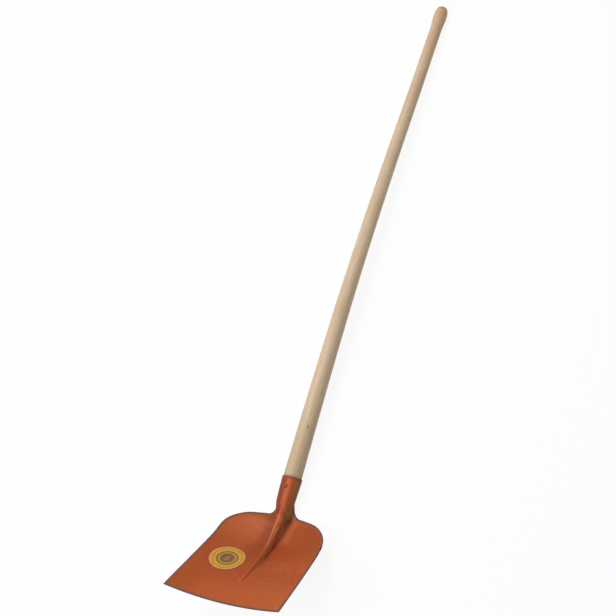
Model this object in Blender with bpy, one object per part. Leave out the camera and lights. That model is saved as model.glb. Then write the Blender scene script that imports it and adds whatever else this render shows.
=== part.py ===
"""A long-handled scoop shovel, lying face up on the heel of its blade and the end of its handle.

The blade is modelled the way it is pressed. A flat steel blank is laid out by two lengths, "along"
it from the front edge and "across" it from the centre line, and each point of the blank is then
bent into the dish, the rib and the rolled socket. X = 0 is the mirror plane. Lying at rest, +Y
runs from the blade to the end of the handle and +Z is up.
"""

from math import cos, exp, hypot, pi, radians, sin, sqrt, atan2

import bmesh
import bpy
from mathutils import Matrix, Vector

# Sizes are in metres and angles in radians.
SHEET = 0.0018
FIT_GAP = 0.0003

# The flat blank of the blade
BLADE_LENGTH = 0.2798
BLADE_WIDTH = 0.2752
SIDE_TAPER = 0.0134
SIDE_POWER = 1.13
SHOULDER_SWEEP = 0.0156
SWEEP_POWER = 1.2
CORNER_LENGTH = 0.0573
CORNER_WIDTH = 0.0545
CORNER_POWER = 2.3

# The dish: how far the sheet has turned up by the time it reaches its side edges
FRONT_LIFT = radians(10.9)
REAR_LIFT = radians(28.9)

# The bend that turns the floor of the blade up into the socket
SOCKET_ANGLE = radians(45.8)
BEND_BEFORE_NECK = 0.1150
BEND_PAST_NECK = 0.0247

# The hollow rib, from its nose on the floor to the neck
RIB_NOSE = 0.0760
RIB_NOSE_RADIUS = 0.0028
RIB_RADIUS_POWER = 5.8
RIB_FOOT_AT_NOSE = 0.0054
RIB_FOOT_AT_NECK = 0.0036
RIB_SLOPE = radians(83.9)
RIB_SLOPE_POWER = 0.253
RIB_FLANK = 0.0179
RIB_FLANK_POWER = 2.49
CREST_RISE = 0.0190
CREST_RISE_BEFORE_NECK = 0.017
CREST_RISE_LENGTH = 0.052

# The neck and the rolled socket, with radii to the middle of the sheet
SOCKET_LENGTH = 0.0837
SEAM_CLOSES = 0.0577
SEAM_GAP = 0.001
NECK_RADIUS = 0.0180
MOUTH_RADIUS = 0.0211
NECK_WIDTH = 0.0675
NECK_FILLET = 0.0156
NECK_BLEND = 0.030

# The ash handle
HANDLE_REACH = 1.1842
HANDLE_DEPTH = 0.065
PLUG_TAPER = 0.050
PLUG_END_RADIUS = 0.0110
GRIP_RADIUS = 0.0134
TAPER_POWER = 1.35
KNOB_RISE = 0.0020
KNOB_BACK = 0.026
KNOB_SPREAD = 0.022
END_ROUNDING = 0.015
END_FLAT_RADIUS = 0.0070
HANDLE_SWEEP = radians(8.27)
SWEEP_SHARE = 0.8
COUNTER_SWEEP = radians(3.38)

# The nail that holds the handle in the socket
NAIL_BELOW_MOUTH = 0.022
NAIL_RADIUS = 0.0022
NAIL_LENGTH = 0.030
NAIL_POINT = 0.006
NAIL_HEAD_RADIUS = 0.0046
NAIL_HEAD_HEIGHT = 0.0022

# The round label on the floor of the blade
LABEL_RADIUS = 0.0379
LABEL_THICKNESS = 0.0003
LABEL_ACROSS = -0.2478 * BLADE_WIDTH
LABEL_ALONG = 0.1320

# How finely the shapes are divided
RIB_COLUMNS = 20
SIDE_COLUMNS = 8
BLADE_ROWS = 32
SOCKET_ROWS = 16
BEND_STEPS = 48
HANDLE_SIDES = 32
PLUG_RINGS = 8
SHAFT_RINGS = 26
KNOB_RINGS = 12
ROUNDING_RINGS = 5


def clamp(value):
    return min(max(value, 0.0), 1.0)


def smooth(value):
    """0 up to 0, 1 from 1, and a smooth step between them."""
    value = clamp(value)
    return value * value * (3 - 2 * value)


def blend(first, second, share):
    return first + (second - first) * share


def spine_angle(along):
    """How far the centre line has turned up from the floor of the blade."""
    start = BLADE_LENGTH - BEND_BEFORE_NECK
    return SOCKET_ANGLE * smooth((along - start) / (BEND_BEFORE_NECK + BEND_PAST_NECK))


def spine_point(along):
    """(y, z) of the centre line of the blank, before the rib lifts it."""
    step = along / BEND_STEPS
    angles = [spine_angle(step * (k + 0.5)) for k in range(BEND_STEPS)]
    return step * sum(map(cos, angles)), step * sum(map(sin, angles))


def rib_at(along):
    """The slope and the breadth of the rib's flat flanks, and the radii of its top and of its feet."""
    share = clamp((along - RIB_NOSE) / (BLADE_LENGTH - RIB_NOSE))
    slope = RIB_SLOPE * share**RIB_SLOPE_POWER
    flank = RIB_FLANK * sin(pi * share**RIB_FLANK_POWER)
    top = blend(RIB_NOSE_RADIUS, NECK_RADIUS, share**RIB_RADIUS_POWER)
    foot = blend(RIB_FOOT_AT_NOSE, RIB_FOOT_AT_NECK, share)
    return slope, flank, top, foot


def crest_height(along):
    slope, flank, top, foot = rib_at(along)
    rise = CREST_RISE * smooth((along - BLADE_LENGTH + CREST_RISE_BEFORE_NECK) / CREST_RISE_LENGTH)
    return (top + foot) * (1 - cos(slope)) + flank * sin(slope) + rise


def tube_radius(along):
    return blend(NECK_RADIUS, MOUTH_RADIUS, clamp((along - BLADE_LENGTH) / SOCKET_LENGTH))


def sheet_slope(across, along):
    """The angle across the sheet: falling off the rib, level at its foot, rising to the side."""
    slope, flank, top, foot = rib_at(along)
    past = across - top * slope
    if past < 0:
        rib = -across / top
    else:
        rib = -max(slope - max(past - flank, 0) / foot, 0)
    lift = blend(FRONT_LIFT, REAR_LIFT, clamp(along / BLADE_LENGTH))
    dish = lift * across / (BLADE_WIDTH / 2)
    rolled = -across / tube_radius(along)
    return blend(rib + dish, rolled, smooth((along - BLADE_LENGTH) / NECK_BLEND))


def raised(height, along):
    """(y, z) of a point at a height over the centre line, square to it."""
    y, z = spine_point(along)
    angle = spine_angle(along)
    return y - height * sin(angle), z + height * cos(angle)


def formed(across, along):
    """The place of a point of the blank once it is pressed, by walking out from the crest."""
    side = -1 if across < 0 else 1
    step = abs(across) / BEND_STEPS
    angles = [sheet_slope(step * (k + 0.5), along) for k in range(BEND_STEPS)]
    reach = step * sum(map(cos, angles))
    height = crest_height(along) + step * sum(map(sin, angles))
    return Vector((side * reach, *raised(height, along)))


def half_width(along):
    """Half the width of the blank: it narrows to the rear, and it is wider by what the rib takes up."""
    slope, flank, top, foot = rib_at(along)
    taken_up = (top + foot) * (slope - sin(slope)) + flank * (1 - cos(slope))
    return BLADE_WIDTH / 2 - SIDE_TAPER * (along / BLADE_LENGTH) ** SIDE_POWER + taken_up


def rear_edge(across):
    """How far along the blank its rear edge lies: swept shoulders with rounded corners."""
    half = half_width(BLADE_LENGTH)
    neck = NECK_WIDTH / 2 + NECK_FILLET
    sweep = SHOULDER_SWEEP * clamp((across - neck) / (half - neck)) ** SWEEP_POWER
    turn = clamp((across - half + CORNER_WIDTH) / CORNER_WIDTH)
    corner = CORNER_LENGTH * (1 - (1 - turn**CORNER_POWER) ** (1 / CORNER_POWER))
    return BLADE_LENGTH - sweep - corner


def tongue_half_width(along):
    """The half width of the tongue that is rolled into the socket, from its fillet to the seam."""
    past = along - BLADE_LENGTH
    fillet = 1 - clamp(past / NECK_FILLET)
    narrow = NECK_WIDTH / 2 + NECK_FILLET * (1 - sqrt(1 - fillet**2))
    closed = pi * tube_radius(along) - SEAM_GAP / 2
    return blend(narrow, closed, smooth((past - NECK_FILLET) / (SEAM_CLOSES - NECK_FILLET)))


def blade_place(u, v):
    """A grid point of the blade: even columns over the rib, closer ones towards the corner."""
    columns = RIB_COLUMNS + SIDE_COLUMNS
    rear = half_width(BLADE_LENGTH)
    rib_share = (NECK_WIDTH / 2 + NECK_FILLET) / rear
    column = u * columns
    if column <= RIB_COLUMNS:
        share = rib_share * column / RIB_COLUMNS
    else:
        share = blend(rib_share, 1, sin(pi / 2 * (column - RIB_COLUMNS) / SIDE_COLUMNS))
    along = v * rear_edge(share * rear)
    return formed(share * half_width(along), along)


def tongue_place(u, v):
    """A grid point of the tongue, whose first row is the last one of the blade."""
    if v == 0:
        return blade_place(u * RIB_COLUMNS / (RIB_COLUMNS + SIDE_COLUMNS), 1)
    along = BLADE_LENGTH + SOCKET_LENGTH * v**1.3
    return formed(u * tongue_half_width(along), along)


def add_grid(bm, columns, rows, place):
    """A grid whose points go where place says, from their shares of its width and length."""
    made = bmesh.ops.create_grid(bm, x_segments=columns, y_segments=rows, size=0.5)
    for vert in made["verts"]:
        u = round((vert.co.x + 0.5) * columns) / columns
        v = round((vert.co.y + 0.5) * rows) / rows
        vert.co = place(u, v)


def painted(name, colour, roughness, metallic=0.0):
    material = bpy.data.materials.new(name)
    material.use_nodes = True
    shader = material.node_tree.nodes["Principled BSDF"]
    shader.inputs["Base Color"].default_value = (*colour, 1)
    shader.inputs["Roughness"].default_value = roughness
    shader.inputs["Metallic"].default_value = metallic
    material.diffuse_color = (*colour, 1)
    return material


def finish(bm, name, parent, material=None):
    """Turns the mesh into a named, smooth-shaded object under the parent."""
    bmesh.ops.remove_doubles(bm, verts=bm.verts, dist=1e-6)
    bmesh.ops.recalc_face_normals(bm, faces=bm.faces)
    mesh = bpy.data.meshes.new(name)
    bm.to_mesh(mesh)
    bm.free()
    mesh.shade_smooth()
    mesh.set_sharp_from_angle(angle=radians(40))
    if material:
        mesh.materials.append(material)
    obj = bpy.data.objects.new(name, mesh)
    obj.parent = parent
    bpy.context.scene.collection.objects.link(obj)
    return obj


def make_blade(parent):
    """Half the blank, mirrored and given the thickness of the sheet."""
    bm = bmesh.new()
    add_grid(bm, RIB_COLUMNS + SIDE_COLUMNS, BLADE_ROWS, blade_place)
    add_grid(bm, RIB_COLUMNS, SOCKET_ROWS, tongue_place)
    lacquer = painted("orange_lacquer", (0.45, 0.10, 0.035), 0.4)
    blade = finish(bm, "blade", parent, lacquer)
    mirror = blade.modifiers.new("other_half", "MIRROR")
    mirror.merge_threshold = 1e-5
    thickness = blade.modifiers.new("sheet", "SOLIDIFY")
    thickness.thickness = SHEET
    thickness.offset = 0
    thickness.use_even_offset = True
    thickness.use_quality_normals = True
    return blade


def mouth_frame():
    """(y, z) of the centre of the socket's mouth, and the angle of the socket's own axis."""
    mouth = BLADE_LENGTH + SOCKET_LENGTH
    y, z = raised(crest_height(mouth) - MOUTH_RADIUS, mouth)
    cone = atan2(MOUTH_RADIUS - NECK_RADIUS, SOCKET_LENGTH)
    return y, z, spine_angle(mouth) - cone


def socket_bore(depth):
    """The radius that wood can have at a depth in the socket."""
    return tube_radius(BLADE_LENGTH + SOCKET_LENGTH - depth) - SHEET / 2 - FIT_GAP


def handle_radius(reach):
    """The radius of the handle at a distance past the socket's mouth, or inside it if negative."""
    if reach <= 0:
        taper = smooth((-reach - HANDLE_DEPTH + PLUG_TAPER) / PLUG_TAPER)
        return blend(socket_bore(-reach), PLUG_END_RADIUS, taper)
    thinner = (1 - reach / HANDLE_REACH) ** TAPER_POWER
    shaft = blend(GRIP_RADIUS, socket_bore(0), thinner)
    from_end = HANDLE_REACH - reach
    knob = KNOB_RISE * exp(-(((from_end - KNOB_BACK) / KNOB_SPREAD) ** 2))
    rounding = clamp(1 - from_end / END_ROUNDING)
    return blend(END_FLAT_RADIUS, shaft + knob, sqrt(1 - rounding**2))


def handle_angle(reach):
    """The angle of the handle's centre line: a gentle sweep back, and a slight return."""
    _, _, angle = mouth_frame()
    past = max(reach, 0)
    swept = HANDLE_SWEEP * smooth(past / (SWEEP_SHARE * HANDLE_REACH))
    return angle - swept + COUNTER_SWEEP * past / HANDLE_REACH


def handle_stations():
    """Distances past the mouth of the socket at which the handle has a ring of points."""
    knob = KNOB_BACK + 2 * KNOB_SPREAD
    plug = [-HANDLE_DEPTH * (1 - k / PLUG_RINGS) for k in range(PLUG_RINGS)]
    shaft = [(HANDLE_REACH - knob) * k / SHAFT_RINGS for k in range(SHAFT_RINGS)]
    head = [blend(knob, END_ROUNDING, k / KNOB_RINGS) for k in range(KNOB_RINGS)]
    turns = [pi / 2 * k / ROUNDING_RINGS for k in range(ROUNDING_RINGS + 1)]
    end = [END_ROUNDING * (1 - sin(turn)) for turn in turns]
    return plug + shaft + [HANDLE_REACH - back for back in head + end]


def handle_rings():
    """For each station, the (y, z) of the centre line, its angle and the handle's radius."""
    y, z, angle = mouth_frame()
    last = -HANDLE_DEPTH
    y -= HANDLE_DEPTH * cos(angle)
    z -= HANDLE_DEPTH * sin(angle)
    rings = []
    for reach in handle_stations():
        middle = handle_angle((last + reach) / 2)
        y += (reach - last) * cos(middle)
        z += (reach - last) * sin(middle)
        rings.append((y, z, handle_angle(reach), handle_radius(reach)))
        last = reach
    return rings


def make_handle(parent):
    """Rings along the bent centre line, closed by a flat face at each end."""
    rings = handle_rings()

    def place(u, v):
        y, z, angle, radius = rings[round(v * (len(rings) - 1))]
        turn = 2 * pi * u
        height = radius * cos(turn)
        return Vector((radius * sin(turn), y - height * sin(angle), z + height * cos(angle)))

    bm = bmesh.new()
    add_grid(bm, HANDLE_SIDES, len(rings) - 1, place)
    bmesh.ops.remove_doubles(bm, verts=bm.verts, dist=1e-6)
    bmesh.ops.holes_fill(bm, edges=bm.edges, sides=HANDLE_SIDES)
    return finish(bm, "handle", parent, painted("ash_wood", (0.66, 0.47, 0.28), 0.55))


def nail_profile():
    """(radius, height) down the nail, from the top of its domed head to its point."""
    dome = [pi / 2 * k / 4 for k in range(5)]
    head = [(NAIL_HEAD_RADIUS * sin(turn), NAIL_HEAD_HEIGHT * cos(turn)) for turn in dome]
    shank = [(NAIL_RADIUS, 0), (NAIL_RADIUS, NAIL_POINT - NAIL_LENGTH), (0, -NAIL_LENGTH)]
    return head + shank


def turned(profile, name, parent, material=None):
    """A closed solid of revolution about its own Z axis."""
    bm = bmesh.new()
    verts = [bm.verts.new((radius, 0, height)) for radius, height in profile]
    edges = [bm.edges.new(pair) for pair in zip(verts, verts[1:])]
    bmesh.ops.spin(
        bm, geom=verts + edges, axis=(0, 0, 1), cent=(0, 0, 0), angle=2 * pi, steps=20, use_merge=True
    )
    return finish(bm, name, parent, material)


def make_nail(blade, handle, parent):
    """The nail on the crest of the socket, and the hole that it takes in the steel and the wood."""
    along = BLADE_LENGTH + SOCKET_LENGTH - NAIL_BELOW_MOUTH
    surface = crest_height(along) + SHEET / 2
    seat = Matrix.Translation((0, *raised(surface + FIT_GAP, along)))
    seat @= Matrix.Rotation(spine_angle(along), 4, "X")
    nail = turned(nail_profile(), "fixing_nail", parent, painted("nail_steel", (0.3, 0.11, 0.07), 0.45, 0.6))
    nail.matrix_local = seat

    bore = NAIL_RADIUS + FIT_GAP
    top = NAIL_HEAD_HEIGHT
    bottom = -NAIL_LENGTH - FIT_GAP
    hole = turned([(0, top), (bore, top), (bore, bottom), (0, bottom)], "nail_hole_cutter", parent)
    hole.matrix_local = seat
    hole.display_type = "WIRE"
    hole.hide_render = True
    for obj in (blade, handle):
        cut = obj.modifiers.new("nail_hole", "BOOLEAN")
        cut.operation = "DIFFERENCE"
        cut.object = hole


def on_sheet(across, along, height):
    """A point over the face of the sheet, square to it."""
    near = 0.0005
    slope_across = formed(across + near, along) - formed(across - near, along)
    slope_along = formed(across, along + near) - formed(across, along - near)
    normal = slope_across.cross(slope_along).normalized()
    return formed(across, along) + normal * height


def make_label(parent):
    """A thin round label that follows the dish of the blade."""

    def place(u, v):
        turn = 2 * pi * u
        across = LABEL_ACROSS + LABEL_RADIUS * v * cos(turn)
        along = LABEL_ALONG + LABEL_RADIUS * v * sin(turn)
        return on_sheet(across, along, SHEET / 2 + FIT_GAP + LABEL_THICKNESS / 2)

    bm = bmesh.new()
    add_grid(bm, 36, 5, place)
    label = finish(bm, "label", parent, painted("label_film", (0.75, 0.42, 0.12), 0.35))
    thickness = label.modifiers.new("film", "SOLIDIFY")
    thickness.thickness = LABEL_THICKNESS
    thickness.offset = 0
    return label


def points_of(obj):
    """(y, z) of each point of the object with its modifiers on."""
    graph = bpy.context.evaluated_depsgraph_get()
    mesh = obj.evaluated_get(graph).to_mesh()
    return [(vert.co.y, vert.co.z) for vert in mesh.vertices]


def lowest(points, tilt):
    return min(z * cos(tilt) - y * sin(tilt) for y, z in points)


def lay_down(parent, blade, handle):
    """Tilts the shovel until its heel and its handle's end are level, and sets it on Z = 0."""
    blade_points = points_of(blade)
    handle_points = points_of(handle)
    y, z, _ = mouth_frame()
    shaft = [point for point in handle_points if hypot(point[0] - y, point[1] - z) > HANDLE_REACH / 2]
    low, high = 0, radians(85)
    for _ in range(40):
        tilt = (low + high) / 2
        if lowest(blade_points, tilt) < lowest(shaft, tilt):
            low = tilt
        else:
            high = tilt
    ends = [y * cos(tilt) + z * sin(tilt) for y, z in blade_points + handle_points]
    middle = (min(ends) + max(ends)) / 2
    floor = lowest(blade_points, tilt)
    parent.matrix_world = Matrix.Translation((0, -middle, -floor)) @ Matrix.Rotation(-tilt, 4, "X")


for old in list(bpy.data.objects):
    bpy.data.objects.remove(old, do_unlink=True)
shovel = bpy.data.objects.new("shovel", None)
bpy.context.scene.collection.objects.link(shovel)
blade = make_blade(shovel)
handle = make_handle(shovel)
make_nail(blade, handle, shovel)
make_label(shovel)
bpy.context.view_layer.update()
lay_down(shovel, blade, handle)
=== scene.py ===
from math import atan2, cos, exp, pi, radians, sin, sqrt

import bmesh
import bpy
from mathutils import Euler, Matrix, Vector, kdtree


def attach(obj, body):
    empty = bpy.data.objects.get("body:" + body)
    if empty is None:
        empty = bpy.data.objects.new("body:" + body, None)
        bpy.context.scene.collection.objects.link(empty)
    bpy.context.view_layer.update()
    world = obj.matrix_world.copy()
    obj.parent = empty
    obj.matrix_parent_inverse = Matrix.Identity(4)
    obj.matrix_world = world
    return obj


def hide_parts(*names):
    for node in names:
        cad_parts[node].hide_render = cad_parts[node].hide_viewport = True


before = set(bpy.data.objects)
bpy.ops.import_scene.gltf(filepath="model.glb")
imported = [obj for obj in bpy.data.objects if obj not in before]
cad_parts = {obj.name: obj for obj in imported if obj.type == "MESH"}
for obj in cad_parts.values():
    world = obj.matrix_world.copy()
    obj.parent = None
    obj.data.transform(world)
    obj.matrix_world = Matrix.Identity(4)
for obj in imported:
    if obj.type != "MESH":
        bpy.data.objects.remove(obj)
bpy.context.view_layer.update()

# Blade.
# The blade is one sheet of steel, pressed into a dished scoop with a hollow rib and rolled into
# an open-seamed socket, then dipped in thin orange-red lacquer. Its sheared edges show dark where
# the lacquer is thin. Points of the flat blank are bent to their places by the lengths "across"
# and "along" it, in metres, with angles in radians.
SHEET = 0.0018
FIT_GAP = 0.0003
BLADE_LENGTH = 0.2798
BLADE_WIDTH = 0.2752
SIDE_TAPER = 0.0134
SIDE_POWER = 1.13
SHOULDER_SWEEP = 0.0156
SWEEP_POWER = 1.2
CORNER_LENGTH = 0.0573
CORNER_WIDTH = 0.0545
CORNER_POWER = 2.3
FRONT_LIFT = radians(10.9)
REAR_LIFT = radians(28.9)
SOCKET_ANGLE = radians(45.8)
BEND_BEFORE_NECK = 0.1150
BEND_PAST_NECK = 0.0247
RIB_NOSE = 0.0760
RIB_NOSE_RADIUS = 0.0028
RIB_FOOT_AT_NOSE = 0.0054
RIB_FOOT_AT_NECK = 0.0036
RIB_SLOPE = radians(83.9)
RIB_SLOPE_POWER = 0.253
RIB_FLANK = 0.0179
RIB_FLANK_POWER = 2.49
RIB_RADIUS_POWER = 5.8
CREST_RISE = 0.0190
CREST_RISE_BEFORE_NECK = 0.017
CREST_RISE_LENGTH = 0.052
SOCKET_LENGTH = 0.0837
SEAM_CLOSES = 0.0577
SEAM_GAP = 0.001
NECK_RADIUS = 0.0180
MOUTH_RADIUS = 0.0211
NECK_WIDTH = 0.0675
NECK_FILLET = 0.0156
NECK_BLEND = 0.030
RIB_COLUMNS = 40
SIDE_COLUMNS = 20
BLADE_ROWS = 84
SOCKET_ROWS = 44
BEND_STEPS = 48
SOCKET_ROW_POWER = 1.3
EDGE_BEVEL = 0.00045
SHARP_ANGLE = radians(50)
NOISE_ROUGHNESS = 0.55

# Where the rear of the blade starts for the lacquer, and a painted glint at the rib's nose and a small
# light spot near the front corner, on the blank
REAR = (0.13, 0.25)
NOSE_GLINT = (-0.0045, 0.0810, 0)
CORNER_SPOT = (0.1230, 0.0100, 0)

# How the shovel lies: turned from the blade's own directions, then set on the floor
LYING_PLACE = (0, -0.746404, 0.150126)
LYING_TURN = -0.712608
LYING = Matrix.Translation(LYING_PLACE) @ Matrix.Rotation(LYING_TURN, 4, "X")


def clamp(value):
    return min(max(value, 0.0), 1.0)


def smooth(value):
    """0 up to 0, 1 from 1, and a smooth step between them."""
    value = clamp(value)
    return value * value * (3 - 2 * value)


def blend(first, second, share):
    return first + (second - first) * share


def spine_angle(along):
    """How far the centre line has turned up from the floor of the blade."""
    start = BLADE_LENGTH - BEND_BEFORE_NECK
    return SOCKET_ANGLE * smooth((along - start) / (BEND_BEFORE_NECK + BEND_PAST_NECK))


def spine_point(along):
    """(y, z) of the centre line of the blank, before the rib lifts it."""
    step = along / BEND_STEPS
    angles = [spine_angle(step * (k + 0.5)) for k in range(BEND_STEPS)]
    return step * sum(map(cos, angles)), step * sum(map(sin, angles))


def rib_at(along):
    """The slope and the breadth of the rib's flat flanks, and the radii of its top and of its feet."""
    share = clamp((along - RIB_NOSE) / (BLADE_LENGTH - RIB_NOSE))
    slope = RIB_SLOPE * share**RIB_SLOPE_POWER
    flank = RIB_FLANK * sin(pi * share**RIB_FLANK_POWER)
    top = blend(RIB_NOSE_RADIUS, NECK_RADIUS, share**RIB_RADIUS_POWER)
    foot = blend(RIB_FOOT_AT_NOSE, RIB_FOOT_AT_NECK, share)
    return slope, flank, top, foot


def crest_height(along):
    slope, flank, top, foot = rib_at(along)
    rise = CREST_RISE * smooth((along - BLADE_LENGTH + CREST_RISE_BEFORE_NECK) / CREST_RISE_LENGTH)
    return (top + foot) * (1 - cos(slope)) + flank * sin(slope) + rise


def tube_radius(along):
    return blend(NECK_RADIUS, MOUTH_RADIUS, clamp((along - BLADE_LENGTH) / SOCKET_LENGTH))


def sheet_slopes(reach, along):
    """Angles across the sheet in even steps: off the rib, level at its foot, up to the side."""
    slope, flank, top, foot = rib_at(along)
    lift = blend(FRONT_LIFT, REAR_LIFT, clamp(along / BLADE_LENGTH)) / (BLADE_WIDTH / 2)
    radius = tube_radius(along)
    rolled = smooth((along - BLADE_LENGTH) / NECK_BLEND)
    slopes = []
    for k in range(BEND_STEPS):
        across = reach * (k + 0.5) / BEND_STEPS
        past = across - top * slope
        over_foot = max(slope - max(past - flank, 0) / foot, 0)
        rib = -across / top if past < 0 else -over_foot
        slopes.append(blend(rib + lift * across, -across / radius, rolled))
    return slopes


def raised(height, along):
    """(y, z) of a point at a height over the centre line, square to it."""
    y, z = spine_point(along)
    angle = spine_angle(along)
    return y - height * sin(angle), z + height * cos(angle)


def formed(across, along):
    """The place of a point of the blank once it is pressed, by walking out from the crest."""
    side = -1 if across < 0 else 1
    slopes = sheet_slopes(abs(across), along)
    step = abs(across) / BEND_STEPS
    height = crest_height(along) + step * sum(map(sin, slopes))
    return Vector((side * step * sum(map(cos, slopes)), *raised(height, along)))


def half_width(along):
    """Half the width of the blank: it narrows to the rear, and it is wider by what the rib takes up."""
    slope, flank, top, foot = rib_at(along)
    taken_up = (top + foot) * (slope - sin(slope)) + flank * (1 - cos(slope))
    return BLADE_WIDTH / 2 - SIDE_TAPER * (along / BLADE_LENGTH) ** SIDE_POWER + taken_up


def rear_edge(across):
    """How far along the blank its rear edge lies: swept shoulders with rounded corners."""
    half = half_width(BLADE_LENGTH)
    neck = NECK_WIDTH / 2 + NECK_FILLET
    sweep = SHOULDER_SWEEP * clamp((across - neck) / (half - neck)) ** SWEEP_POWER
    turn = clamp((across - half + CORNER_WIDTH) / CORNER_WIDTH)
    corner = CORNER_LENGTH * (1 - (1 - turn**CORNER_POWER) ** (1 / CORNER_POWER))
    return BLADE_LENGTH - sweep - corner


def tongue_half_width(along):
    """The half width of the tongue that is rolled into the socket, from its fillet to the seam."""
    past = along - BLADE_LENGTH
    fillet = 1 - clamp(past / NECK_FILLET)
    narrow = NECK_WIDTH / 2 + NECK_FILLET * (1 - sqrt(1 - fillet**2))
    closed = pi * tube_radius(along) - SEAM_GAP / 2
    return blend(narrow, closed, smooth((past - NECK_FILLET) / (SEAM_CLOSES - NECK_FILLET)))


def blade_spot(u, v):
    """(across, along) of a grid point of the blade, whose columns close up towards the corners."""
    columns = RIB_COLUMNS + SIDE_COLUMNS
    rear = half_width(BLADE_LENGTH)
    rib_share = (NECK_WIDTH / 2 + NECK_FILLET) / rear
    column = abs(2 * u - 1) * columns
    if column <= RIB_COLUMNS:
        share = rib_share * column / RIB_COLUMNS
    else:
        share = blend(rib_share, 1, sin(pi / 2 * (column - RIB_COLUMNS) / SIDE_COLUMNS))
    along = v * rear_edge(share * rear)
    side = -1 if u < 0.5 else 1
    return side * share * half_width(along), along


def tongue_spot(u, v):
    """(across, along) of a grid point of the tongue, whose first row is the blade's last one."""
    if v == 0:
        return blade_spot(blend(0.5, u, RIB_COLUMNS / (RIB_COLUMNS + SIDE_COLUMNS)), 1)
    along = BLADE_LENGTH + SOCKET_LENGTH * v**SOCKET_ROW_POWER
    return (2 * u - 1) * tongue_half_width(along), along


def add_sheet(bm, layer, columns, rows, spot):
    """A grid of the blank, pressed to its shape, whose points keep their places on the flat."""
    made = bmesh.ops.create_grid(bm, x_segments=columns, y_segments=rows, size=0.5)
    for vert in made["verts"]:
        u = round((vert.co.x + 0.5) * columns) / columns
        v = round((vert.co.y + 0.5) * rows) / rows
        across, along = spot(u, v)
        vert.co = formed(across, along)
        vert[layer] = (across, along, 0)


def mark_edge_distance(bm):
    """Keeps each point's distance from the nearest free edge of the sheet, for the lacquer."""
    layer = bm.verts.layers.float.new("edge_distance")
    rim = [vert for vert in bm.verts if vert.is_boundary]
    tree = kdtree.KDTree(len(rim))
    for index, vert in enumerate(rim):
        tree.insert(vert.co, index)
    tree.balance()
    for vert in bm.verts:
        vert[layer] = 0 if vert.is_boundary else tree.find(vert.co)[2]


def finish(bm, name, material):
    """Turns the mesh into a smooth-shaded piece that stands for the CAD node of its slot."""
    bmesh.ops.remove_doubles(bm, verts=bm.verts, dist=1e-6)
    bmesh.ops.recalc_face_normals(bm, faces=bm.faces)
    mesh = bpy.data.meshes.new(name)
    bm.to_mesh(mesh)
    bm.free()
    mesh.transform(LYING)
    mesh.shade_smooth()
    mesh.materials.append(material)
    piece = bpy.data.objects.new(name, mesh)
    bpy.context.scene.collection.objects.link(piece)
    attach(piece, "root")
    return piece


class Value:
    """A socket in a material's node tree, with arithmetic that adds Math nodes."""

    def __init__(self, tree, socket):
        self.tree = tree
        self.socket = socket

    def node(self, kind, settings=None, inputs=None):
        """Any node: its type, then its settings, then its sockets' values or links."""
        made = self.tree.nodes.new(kind)
        for key, value in (settings or {}).items():
            setattr(made, key, value)
        for key, value in (inputs or {}).items():
            if isinstance(value, Value):
                self.tree.links.new(value.socket, made.inputs[key])
            else:
                made.inputs[key].default_value = value
        return made

    def out(self, made, name=0):
        return Value(self.tree, made.outputs[name])

    def math(self, operation, other=0.0, swapped=False):
        """A Math node on this socket and another value, or on the two the other way round."""
        pair = (other, self) if swapped else (self, other)
        return self.out(self.node("ShaderNodeMath", {"operation": operation}, dict(enumerate(pair))))

    def __add__(self, other):
        return self.math("ADD", other)

    def __radd__(self, other):
        return self.math("ADD", other, True)

    def __sub__(self, other):
        return self.math("SUBTRACT", other)

    def __rsub__(self, other):
        return self.math("SUBTRACT", other, True)

    def __mul__(self, other):
        return self.math("MULTIPLY", other)

    def __pow__(self, other):
        return self.math("POWER", other)

    def step(self, low, high):
        """0 at low and 1 at high, with a smooth step between them."""
        made = self.node(
            "ShaderNodeMapRange",
            {"interpolation_type": "SMOOTHSTEP"},
            {"Value": self, "From Min": low, "From Max": high},
        )
        return self.out(made)

    def band(self, rise, fall):
        """1 between two smooth steps: up over the first pair of values, down over the second."""
        return self.step(*rise) * (1 - self.step(*fall))

    def distance(self, x, y, z):
        """How far this vector is from a point."""
        made = self.node("ShaderNodeVectorMath", {"operation": "DISTANCE"}, {0: self, 1: (x, y, z)})
        return self.out(made, "Value")

    def mix(self, first, second):
        """From the first colour at 0 to the second at 1."""
        made = self.node(
            "ShaderNodeMix",
            {"data_type": "RGBA"},
            {"Factor": self, 6: colour(first), 7: colour(second)},
        )
        return self.out(made, 2)

    def scaled(self, x, y, z):
        """The vector with its parts multiplied."""
        made = self.node("ShaderNodeVectorMath", {"operation": "MULTIPLY"}, {0: self, 1: (x, y, z)})
        return self.out(made)

    def part(self, name):
        made = self.node("ShaderNodeSeparateXYZ", None, {0: self})
        return self.out(made, name)

    def noise(self, scale, detail):
        """Noise at this vector, about 0.3 to 0.7."""
        made = self.node(
            "ShaderNodeTexNoise",
            None,
            {"Vector": self, "Scale": scale, "Detail": detail, "Roughness": NOISE_ROUGHNESS},
        )
        return self.out(made, "Fac")


def colour(value):
    """A hexadecimal sRGB colour as linear light, or a socket as it is."""
    if isinstance(value, Value):
        return value
    parts = [int(value[k : k + 2], 16) / 255 for k in (0, 2, 4)]
    return (*[p / 12.92 if p < 0.04045 else ((p + 0.055) / 1.055) ** 2.4 for p in parts], 1)


def painted(base, *layers):
    """A colour with layers laid over it in turn, each a mask, its share and its colour."""
    for mask, share, ink in layers:
        base = (mask * share).mix(base, ink)
    return base


def new_material(name):
    """The material, its main shader, and its Object coordinates to build from."""
    material = bpy.data.materials.new(name)
    material.use_nodes = True
    tree = material.node_tree
    shader = tree.nodes["Principled BSDF"]
    place = Value(tree, tree.nodes.new("ShaderNodeTexCoord").outputs["Object"])
    return material, shader, place


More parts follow.
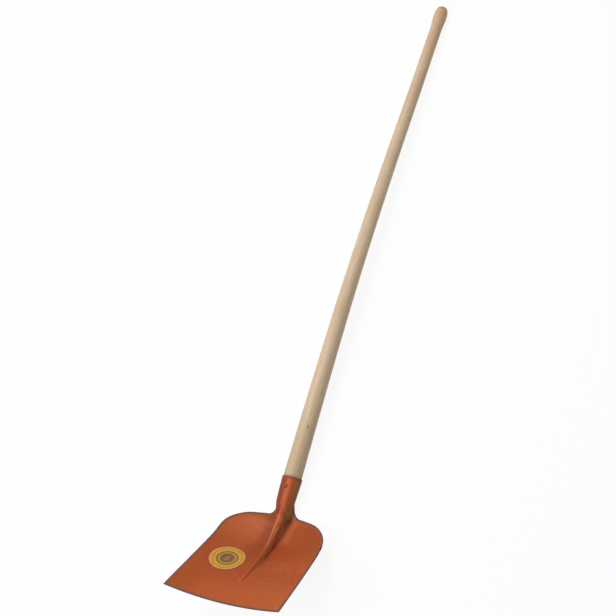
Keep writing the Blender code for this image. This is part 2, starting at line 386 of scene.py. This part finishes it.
def attribute(place, name, output):
    made = place.node("ShaderNodeAttribute", {"attribute_name": name})
    return place.out(made, output)


def feed(shader, **values):
    for key, value in values.items():
        value.tree.links.new(value.socket, shader.inputs[key.replace("_", " ")])


def bumped(shader, height, distance):
    bump = height.node("ShaderNodeBump", None, {"Height": height, "Distance": distance})
    height.tree.links.new(bump.outputs["Normal"], shader.inputs["Normal"])


def lacquer_light_shade_and_wear(base, across, along):
    """Painted light and shade on the lacquer, and its worn crest with a painted highlight, by place on
    the blank.
    """
    label_side = 0 - across
    at_rear = along.step(*REAR)
    on_socket = along.step(0.28, 0.30)
    # Painted light: the front, and the rear wall on the label side, are painted lighter, as if more
    # light fell there.
    lit_front = (1 - along.step(0.03, 0.11)) * (1 - label_side.step(0.05, 0.11) * 0.6)
    lit_rear_wall = at_rear * label_side.step(0.03, 0.08)
    shaded_corner = along.step(0.15, 0.24) * across.step(0.05, 0.11)
    # Painted shade in the crease beside the rib's left foot.
    shaded_crease = at_rear * label_side.band((0.012, 0.020), (0.036, 0.066))
    # Painted shade: the rib's lower right flank, which lies in shade, is painted a paler, less red tone.
    flank_end = (along * 0.167 - 0.0177).math("MINIMUM", 0.009)
    flank = along.band((0.11, 0.165), (0.235, 0.255)) * across.step(0.001, 0.004)
    flank = flank * (1 - (across - flank_end).step(0.0, 0.005))
    # Painted shade: a dark line at the foot of the rib's right flank.
    shaded_foot_line = along.band((0.12, 0.16), (0.166, 0.190)) * across.band((0.007, 0.011), (0.013, 0.023))
    # Painted light: the rib's right foot near the neck is painted paler, as if lit.
    lit_right_foot = along.band((0.205, 0.235), (0.268, 0.282)) * across.band((0.024, 0.030), (0.040, 0.052))
    # Painted shade: a paler, greyer brown on the rib's right flank and foot, for the colour of its
    # shade.
    shade_tone_foot = along.band((0.20, 0.245), (0.285, 0.300)) * across.band((0.009, 0.014), (0.025, 0.032))
    # Painted shade on the fillet at the right of the neck.
    shaded_fillet = along.step(0.270, 0.278) * across.band((0.028, 0.034), (0.040, 0.052))
    # Painted shade: an olive-dark patch right of the crest, under the neck.
    shade_under_neck = along.band((0.248, 0.270), (0.276, 0.31)) * across.band((0.004, 0.010), (0.017, 0.025))
    # Painted shade along the socket's left limb.
    shaded_left_limb = along.step(0.272, 0.288) * label_side.step(-0.001, 0.005)
    # The socket's crest is worn, and its lighter band is partly a painted highlight.
    worn_highlit_crest = on_socket * across.band((-0.001, 0.004), (0.008, 0.015))
    # The rib's ridge is worn, and its thin lighter line is partly a painted highlight.
    from_crest = across - (along - 0.278).math("MAXIMUM", 0.0) * 0.25
    worn_highlit_rib = from_crest.band((-0.0075, -0.0045), (-0.0025, 0.0008))
    worn_highlit_rib = worn_highlit_rib * along.band((0.17, 0.20), (0.286, 0.302))
    # Painted shade: a browner, less red tone on the socket's right side.
    shade_tone_socket_side = along.step(0.270, 0.286) * across.band((0.012, 0.020), (0.036, 0.046))
    # Painted shade: the socket's right side is painted darker.
    shaded_socket_side = on_socket * across.step(0.022, 0.034)
    return painted(
        base,
        (lit_front, 0.8, "BC5A26"),
        (lit_rear_wall, 0.7, "C06430"),
        (shaded_corner, 0.6, "8E4420"),
        (shaded_crease, 0.8, "863C16"),
        (flank, 0.85, "BE7C48"),
        (shaded_foot_line, 0.7, "6E4420"),
        (lit_right_foot, 0.7, "C0683C"),
        (shade_tone_foot, 0.85, "BC8A68"),
        (shaded_fillet, 0.65, "6E5A44"),
        (shade_under_neck, 0.7, "4E4620"),
        (shaded_left_limb, 0.55, "6C311C"),
        (worn_highlit_crest, 0.85, "CE6C44"),
        (worn_highlit_rib, 0.8, "C8724C"),
        (shade_tone_socket_side, 0.75, "AA7042"),
        (shaded_socket_side, 0.6, "6A4034"),
    )


def blade_lacquer():
    """Orange-red lacquer with painted light and shade and a worn crest in places, a painted glint and a
    small light spot, and brown at the edges.
    """
    material, shader, place = new_material("blade_lacquer")
    blank = attribute(place, "on_the_blank", "Vector")
    edge = attribute(place, "edge_distance", "Fac")
    across = blank.part("X")
    along = blank.part("Y")

    clouds = place.noise(9, 2).step(0.35, 0.65)
    mottle = place.noise(55, 4).step(0.38, 0.64)
    base = painted(clouds.mix("A64C1F", "B05225"), (mottle, 0.35, "9C461B"))
    base = lacquer_light_shade_and_wear(base, across, along)
    # A browner band round the socket's mouth, where the dark rim is also weaker.
    mouth = BLADE_LENGTH + SOCKET_LENGTH
    brown_mouth_band = along.step(mouth - 0.007, mouth - 0.003)
    # A painted glint on the rib's nose, and a small light spot near the front corner.
    from_spots = blank.distance(*NOSE_GLINT).math("MINIMUM", blank.distance(*CORNER_SPOT))
    glint_and_spot = 1 - from_spots.step(0.0010, 0.0030)
    specks = place.noise(420, 1).step(0.70, 0.78)
    rubbed = 1 - (edge - place.noise(90, 3) * 0.002).step(0.0015, 0.0085)
    base = painted(
        base,
        (brown_mouth_band, 0.6, "9A6638"),
        (glint_and_spot, 0.6, "CC9478"),
        (specks, 0.5, "6E3523"),
        (rubbed, 0.75, "8E563E"),
    )
    ragged = edge - place.noise(160, 3) * 0.0016
    rim = 1 - ragged.step(0.0006, 0.0036)
    darkness = 0.5 + along.step(*REAR) * 0.2 + across.step(0.0, 0.06) * 0.15
    base = painted(base, (rim, darkness * (1 - brown_mouth_band * 0.6), "5C463A"))
    feed(shader, Base_Color=base, Roughness=0.46 + mottle * 0.10 + rim * 0.1)
    shader.inputs["Specular IOR Level"].default_value = 0.2
    bumped(shader, place.noise(700, 2) * 0.4 + mottle, 0.00012)
    return material


def make_blade():
    bm = bmesh.new()
    columns = 2 * (RIB_COLUMNS + SIDE_COLUMNS)
    layer = bm.verts.layers.float_vector.new("on_the_blank")
    add_sheet(bm, layer, columns, BLADE_ROWS, blade_spot)
    add_sheet(bm, layer, 2 * RIB_COLUMNS, SOCKET_ROWS, tongue_spot)
    bmesh.ops.remove_doubles(bm, verts=bm.verts, dist=1e-6)
    mark_edge_distance(bm)
    blade = finish(bm, "lacquered_blade", blade_lacquer())
    sheet = blade.modifiers.new("sheet", "SOLIDIFY")
    sheet.thickness = SHEET
    sheet.offset = 0
    sheet.use_even_offset = True
    sheet.use_quality_normals = True
    edges = blade.modifiers.new("sheared_edges", "BEVEL")
    edges.width = EDGE_BEVEL
    edges.segments = 2
    edges.limit_method = "ANGLE"
    edges.angle_limit = SHARP_ANGLE
    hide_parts("blade")


make_blade()

# Handle.
# The handle is one length of ash, turned to a taper, steamed to a gentle bow and sanded bare. Its
# plug is driven into the socket, and its end is a slightly swollen, rounded knob.
HANDLE_REACH = 1.1842
HANDLE_DEPTH = 0.065
PLUG_TAPER = 0.050
PLUG_END_RADIUS = 0.0110
GRIP_RADIUS = 0.0134
TAPER_POWER = 1.35
KNOB_RISE = 0.0020
KNOB_BACK = 0.026
KNOB_SPREAD = 0.022
END_ROUNDING = 0.015
END_FLAT_RADIUS = 0.0070
HANDLE_SWEEP = radians(8.27)
SWEEP_SHARE = 0.8
COUNTER_SWEEP = radians(3.38)
KNOT_PLACE = Vector((0.0107, 0.0158, 0.112))
KNOT_SCALE = Vector((1, 1, 0.45))
RING_PHASE = 2000
HANDLE_SIDES = 64
PLUG_RINGS = 10
SHAFT_RINGS = 120
KNOB_RINGS = 20
ROUNDING_RINGS = 10


def mouth_frame():
    """(y, z) of the centre of the socket's mouth, and the angle of the socket's own axis."""
    mouth = BLADE_LENGTH + SOCKET_LENGTH
    y, z = raised(crest_height(mouth) - MOUTH_RADIUS, mouth)
    cone = atan2(MOUTH_RADIUS - NECK_RADIUS, SOCKET_LENGTH)
    return y, z, spine_angle(mouth) - cone


def socket_bore(depth):
    """The radius that wood can have at a depth in the socket."""
    return tube_radius(BLADE_LENGTH + SOCKET_LENGTH - depth) - SHEET / 2 - FIT_GAP


def handle_radius(reach):
    """The radius of the handle at a distance past the socket's mouth, or inside it if negative."""
    if reach <= 0:
        taper = smooth((-reach - HANDLE_DEPTH + PLUG_TAPER) / PLUG_TAPER)
        return blend(socket_bore(-reach), PLUG_END_RADIUS, taper)
    thinner = (1 - reach / HANDLE_REACH) ** TAPER_POWER
    shaft = blend(GRIP_RADIUS, socket_bore(0), thinner)
    from_end = HANDLE_REACH - reach
    knob = KNOB_RISE * exp(-(((from_end - KNOB_BACK) / KNOB_SPREAD) ** 2))
    rounding = clamp(1 - from_end / END_ROUNDING)
    return blend(END_FLAT_RADIUS, shaft + knob, sqrt(1 - rounding**2))


def handle_angle(reach):
    """The angle of the handle's centre line: a gentle sweep back, and a slight return."""
    _, _, angle = mouth_frame()
    past = max(reach, 0)
    swept = HANDLE_SWEEP * smooth(past / (SWEEP_SHARE * HANDLE_REACH))
    return angle - swept + COUNTER_SWEEP * past / HANDLE_REACH


def handle_stations():
    """Distances past the mouth of the socket at which the handle has a ring of points."""
    knob = KNOB_BACK + 2 * KNOB_SPREAD
    plug = [-HANDLE_DEPTH * (1 - k / PLUG_RINGS) for k in range(PLUG_RINGS)]
    shaft = [(HANDLE_REACH - knob) * k / SHAFT_RINGS for k in range(SHAFT_RINGS)]
    head = [blend(knob, END_ROUNDING, k / KNOB_RINGS) for k in range(KNOB_RINGS)]
    turns = [pi / 2 * k / ROUNDING_RINGS for k in range(ROUNDING_RINGS + 1)]
    end = [END_ROUNDING * (1 - sin(turn)) for turn in turns]
    return plug + shaft + [HANDLE_REACH - back for back in head + end]


def handle_rings():
    """For each station: how far along it is, its (y, z), its angle and the handle's radius."""
    y, z, angle = mouth_frame()
    last = -HANDLE_DEPTH
    y -= HANDLE_DEPTH * cos(angle)
    z -= HANDLE_DEPTH * sin(angle)
    rings = []
    for reach in handle_stations():
        middle = handle_angle((last + reach) / 2)
        y += (reach - last) * cos(middle)
        z += (reach - last) * sin(middle)
        rings.append((reach, y, z, handle_angle(reach), handle_radius(reach)))
        last = reach
    return rings


def handle_wood():
    """Bare ash: growth rings cut along the handle, open pores, a small knot and faint blotches."""
    material, shader, place = new_material("handle_wood")
    wood = attribute(place, "in_the_wood", "Vector")
    side = wood.part("X")
    reach = wood.part("Z")
    from_knot = wood.scaled(*KNOT_SCALE).distance(*(KNOT_PLACE * KNOT_SCALE))
    near_knot = 1 - from_knot.step(0.0, 0.007)
    wander = wood.scaled(14, 14, 1.1).noise(1, 2) + near_knot * 0.08
    ring = ((side + wander * 0.05) * RING_PHASE).math("SINE") * 0.5 + 0.5
    pores = wood.scaled(900, 900, 14).noise(1, 3).step(0.50, 0.66)
    streak = wood.scaled(160, 160, 3).noise(1, 3).step(0.36, 0.64)
    blotch = wood.scaled(22, 22, 9).noise(1, 3).step(0.36, 0.66)
    near_socket = 1 - reach.step(0.0, 0.16)
    # Painted shade: a greyer tone on one side of the handle, near the socket.
    grey_shaded_side = (1 - reach.step(0.13, 0.20)) * (0 - side).step(0.006, 0.017)
    # Painted reflection: the wood just past the socket's mouth is tinted orange, as if lit from the
    # socket.
    socket_reflection = 1 - reach.step(0.0005, 0.0060)
    upper = reach.step(0.96, 1.14)
    tip = reach.step(HANDLE_REACH - 0.012, HANDLE_REACH - 0.001)
    heart = 1 - from_knot.step(0.0008, 0.0024)
    base = painted(
        blotch.mix("DEC7A9", "D8BE9F"),
        (streak, 0.35, "C9AA87"),
        (ring, 0.22, "BE9870"),
        (pores, 0.22, "A98762"),
        (near_socket, 0.55, "C4AA84"),
        (grey_shaded_side, 0.7, "9C8E7A"),
        (socket_reflection, 0.5, "B07A46"),
        (upper, 0.45, "CFA272"),
        (tip, 0.5, "9C7448"),
        (heart, 0.6, "6E4A2C"),
    )
    feed(shader, Base_Color=base, Roughness=0.52 + pores * 0.15)
    shader.inputs["Specular IOR Level"].default_value = 0.35
    bumped(shader, 1 - pores * 0.8 - ring * 0.2, 0.0002)
    return material


def make_handle():
    """Rings along the bent centre line, closed by a flat face at each end."""
    rings = handle_rings()
    bm = bmesh.new()
    layer = bm.verts.layers.float_vector.new("in_the_wood")
    made = bmesh.ops.create_grid(bm, x_segments=HANDLE_SIDES, y_segments=len(rings) - 1, size=0.5)
    for vert in made["verts"]:
        turn = 2 * pi * (vert.co.x + 0.5)
        reach, y, z, angle, radius = rings[round((vert.co.y + 0.5) * (len(rings) - 1))]
        height = radius * cos(turn)
        vert.co = (radius * sin(turn), y - height * sin(angle), z + height * cos(angle))
        vert[layer] = (radius * sin(turn), height, reach)
    bmesh.ops.remove_doubles(bm, verts=bm.verts, dist=1e-6)
    bmesh.ops.holes_fill(bm, edges=bm.edges, sides=HANDLE_SIDES)
    handle = finish(bm, "ash_handle", handle_wood())
    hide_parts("handle")


make_handle()

# Nail.
# One steel nail is driven through the crest of the socket into the wood, and dipped in the same
# lacquer as the blade. Only its low domed head shows.
NAIL_BELOW_MOUTH = 0.022
NAIL_RADIUS = 0.0022
NAIL_LENGTH = 0.030
NAIL_POINT = 0.006
NAIL_HEAD_RADIUS = 0.0046
NAIL_HEAD_HEIGHT = 0.0022
NAIL_SIDES = 40
NAIL_DOME_STEPS = 8


def nail_profile():
    """(radius, height) down the nail, from the top of its domed head to its point."""
    dome = [pi / 2 * k / NAIL_DOME_STEPS for k in range(NAIL_DOME_STEPS + 1)]
    head = [(NAIL_HEAD_RADIUS * sin(turn), NAIL_HEAD_HEIGHT * cos(turn)) for turn in dome]
    shank = [(NAIL_RADIUS, 0), (NAIL_RADIUS, NAIL_POINT - NAIL_LENGTH), (0, -NAIL_LENGTH)]
    return head + shank


def nail_lacquer():
    """Lacquer a little darker and redder than the blade's, cracked in places by the hammer."""
    material, shader, place = new_material("nail_lacquer")
    cloud = place.noise(300, 3).step(0.35, 0.65)
    cracks = place.noise(900, 2).step(0.62, 0.70)
    base = painted(cloud.mix("A54B28", "984224"), (cracks, 0.3, "6A4438"))
    feed(shader, Base_Color=base, Roughness=0.48 + cloud * 0.15)
    shader.inputs["Specular IOR Level"].default_value = 0.3
    bumped(shader, cloud, 0.0002)
    return material


def make_nail():
    along = BLADE_LENGTH + SOCKET_LENGTH - NAIL_BELOW_MOUTH
    surface = crest_height(along) + SHEET / 2
    seat = Matrix.Translation((0, *raised(surface + FIT_GAP, along)))
    seat @= Matrix.Rotation(spine_angle(along), 4, "X")
    bm = bmesh.new()
    verts = [bm.verts.new((radius, 0, height)) for radius, height in nail_profile()]
    edges = [bm.edges.new(pair) for pair in zip(verts, verts[1:])]
    bmesh.ops.spin(
        bm,
        geom=verts + edges,
        axis=(0, 0, 1),
        cent=(0, 0, 0),
        angle=2 * pi,
        steps=NAIL_SIDES,
        use_merge=True,
    )
    bmesh.ops.transform(bm, matrix=seat, verts=bm.verts)
    nail = finish(bm, "domed_nail", nail_lacquer())
    nail.data.set_sharp_from_angle(angle=SHARP_ANGLE)
    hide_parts("fixing_nail")


make_nail()

# Label.
# A round printed film is stuck to the floor of the blade, beside the rib. It is amber with plain
# rings and a leaf, and follows the dish of the steel.
LABEL_RADIUS = 0.0379
LABEL_THICKNESS = 0.0003
LABEL_ACROSS = -0.2478 * BLADE_WIDTH
LABEL_ALONG = 0.1320
LABEL_COLUMNS = 96
LABEL_ROWS = 16
LABEL_RINGS = (
    (0.0318, "A87A34"),
    (0.0302, "D49C30"),
    (0.0224, "5C4812"),
    (0.0198, "B08E4A"),
    (0.0150, "88522A"),
)
LEAF_LENGTH = 0.020
LEAF_WIDTH = 0.009


def on_sheet(across, along, height):
    """A point over the face of the sheet, square to it."""
    near = 0.0005
    slope_across = formed(across + near, along) - formed(across - near, along)
    slope_along = formed(across, along + near) - formed(across, along - near)
    normal = slope_across.cross(slope_along).normalized()
    return formed(across, along) + normal * height


def label_film():
    """Amber film printed with plain rings round a brown middle, and a leaf in it."""
    material, shader, place = new_material("label_film")
    spot = attribute(place, "on_the_label", "Vector")
    x = spot.part("X")
    y = spot.part("Y")
    radius = (x * x + y * y) ** 0.5
    fade = place.noise(90, 3).step(0.35, 0.65)
    base = fade.mix("E29C50", "D68E40")
    for outer, ink in LABEL_RINGS:
        inside = 1 - radius.step(outer - 0.0002, outer + 0.0002)
        base = inside.mix(base, ink)
    arc = (LEAF_LENGTH**2 - LEAF_WIDTH**2) / (4 * LEAF_WIDTH)
    near_side = ((x + arc) * (x + arc) + y * y) ** 0.5
    far_side = ((x - arc) * (x - arc) + y * y) ** 0.5
    leaf = 1 - (near_side.math("MAXIMUM", far_side) - arc - LEAF_WIDTH / 2).step(-0.0003, 0.0003)
    vein = 1 - (x.math("ABSOLUTE") - 0.0003).step(-0.0002, 0.0002)
    base = (leaf * (1 - vein * 0.7)).mix(base, "9C7C38")
    # Painted shadow: a dark brown edge round the film.
    label_edge_shadow = (radius + place.noise(500, 2) * 0.003).step(LABEL_RADIUS + 0.0002, LABEL_RADIUS + 0.0014)
    base = painted(base, (label_edge_shadow, 0.7, "7A4210"))
    feed(shader, Base_Color=base, Roughness=0.34 + fade * 0.12)
    shader.inputs["Specular IOR Level"].default_value = 0.3
    bumped(shader, place.noise(140, 3), 0.0003)
    return material


def make_label():
    bm = bmesh.new()
    layer = bm.verts.layers.float_vector.new("on_the_label")
    made = bmesh.ops.create_grid(bm, x_segments=LABEL_COLUMNS, y_segments=LABEL_ROWS, size=0.5)
    for vert in made["verts"]:
        turn = 2 * pi * (vert.co.x + 0.5)
        out = LABEL_RADIUS * (vert.co.y + 0.5)
        across = out * cos(turn)
        along = out * sin(turn)
        height = SHEET / 2 + FIT_GAP + LABEL_THICKNESS / 2
        vert.co = on_sheet(LABEL_ACROSS + across, LABEL_ALONG + along, height)
        vert[layer] = (across, along, 0)
    label = finish(bm, "round_label", label_film())
    film = label.modifiers.new("film", "SOLIDIFY")
    film.thickness = LABEL_THICKNESS
    film.offset = 0
    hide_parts("label")


make_label()

# Floor, light and camera.
# A white floor that runs on past the frame and keeps a faint shadow, two soft lamps from the top
# and the left of the view, and a long lens as far off as the photograph's.
CAMERA_PLACE = Vector((1.61708, -1.13034, 2.93789))
CAMERA_TURN = Euler((0.459067, 0.411798, 0.326547))
LENS = 92.9774
SENSOR_WIDTH = 36
VIEW_END = 100
FLOOR_SIZE = 60
FLOOR_WHITE = 0.93
FLOOR_GLOW = 0.92
WORLD_LIGHT = 0.15
LAMP_DISTANCE = 3.2
LAMP_SIZE = 1.4
UPPER_LAMP = Vector((-0.366, 0.785, 0.5))
UPPER_SHARE = 0.57
LEFT_LAMP = Vector((-0.866, 0.0, 0.5))
LEFT_SHARE = 0.44
LAMP_AIM = LYING @ Vector((0, 0.2, 0))


def seen_rays(value):
    """1 for the rays that see the backdrop: straight from the camera, mirrored or let through."""
    rays = value.node("ShaderNodeLightPath")
    seen = value.out(rays, "Is Camera Ray").math("MAXIMUM", value.out(rays, "Is Glossy Ray"))
    return seen.math("MAXIMUM", value.out(rays, "Is Transmission Ray"))


def make_floor():
    bm = bmesh.new()
    bmesh.ops.create_grid(bm, x_segments=1, y_segments=1, size=FLOOR_SIZE / 2)
    mesh = bpy.data.meshes.new("studio_floor")
    bm.to_mesh(mesh)
    bm.free()
    floor = bpy.data.objects.new("studio_floor", mesh)
    bpy.context.scene.collection.objects.link(floor)
    material, shader, place = new_material("studio_floor")
    shader.inputs["Base Color"].default_value = (FLOOR_WHITE, FLOOR_WHITE, FLOOR_WHITE, 1)
    shader.inputs["Roughness"].default_value = 0.9
    seen = seen_rays(place)
    glow = place.node("ShaderNodeEmission", None, {"Color": (1, 1, 1, 1), "Strength": 1.0})
    mixed = place.node("ShaderNodeMixShader", None, {0: seen * FLOOR_GLOW})
    place.tree.links.new(shader.outputs["BSDF"], mixed.inputs[1])
    place.tree.links.new(glow.outputs["Emission"], mixed.inputs[2])
    place.tree.links.new(mixed.outputs["Shader"], place.tree.nodes["Material Output"].inputs["Surface"])
    mesh.materials.append(material)


def make_world():
    world = bpy.data.worlds.new("studio")
    bpy.context.scene.world = world
    world.use_nodes = True
    tree = world.node_tree
    light = tree.nodes["Background"]
    light.inputs["Color"].default_value = (1, 1, 1, 1)
    light.inputs["Strength"].default_value = WORLD_LIGHT
    white = tree.nodes.new("ShaderNodeBackground")
    white.inputs["Color"].default_value = (1, 1, 1, 1)
    mixed = tree.nodes.new("ShaderNodeMixShader")
    seen = seen_rays(Value(tree, light.outputs["Background"]))
    tree.links.new(seen.socket, mixed.inputs[0])
    tree.links.new(light.outputs["Background"], mixed.inputs[1])
    tree.links.new(white.outputs["Background"], mixed.inputs[2])
    tree.links.new(mixed.outputs["Shader"], tree.nodes["World Output"].inputs["Surface"])


def make_lamp(name, towards, share):
    """A square lamp aimed at the blade, which alone lights white to the given share."""
    view = CAMERA_TURN.to_matrix()
    place = LAMP_AIM + (view @ towards).normalized() * LAMP_DISTANCE
    lamp = bpy.data.lights.new(name, "AREA")
    lamp.size = LAMP_SIZE
    lamp.energy = share * pi**2 * LAMP_DISTANCE**2
    piece = bpy.data.objects.new(name, lamp)
    piece.location = place
    piece.rotation_euler = (place - LAMP_AIM).to_track_quat("Z", "Y").to_euler()
    bpy.context.scene.collection.objects.link(piece)


def make_camera():
    camera = bpy.data.cameras.new("camera")
    camera.lens = LENS
    camera.sensor_width = SENSOR_WIDTH
    camera.clip_end = VIEW_END
    holder = bpy.data.objects.new("camera", camera)
    holder.location = CAMERA_PLACE
    holder.rotation_euler = CAMERA_TURN
    bpy.context.scene.collection.objects.link(holder)
    bpy.context.scene.camera = holder


make_floor()
make_world()
make_lamp("upper_lamp", UPPER_LAMP, UPPER_SHARE)
make_lamp("left_lamp", LEFT_LAMP, LEFT_SHARE)
make_camera()
bpy.context.scene.view_settings.view_transform = "Standard"
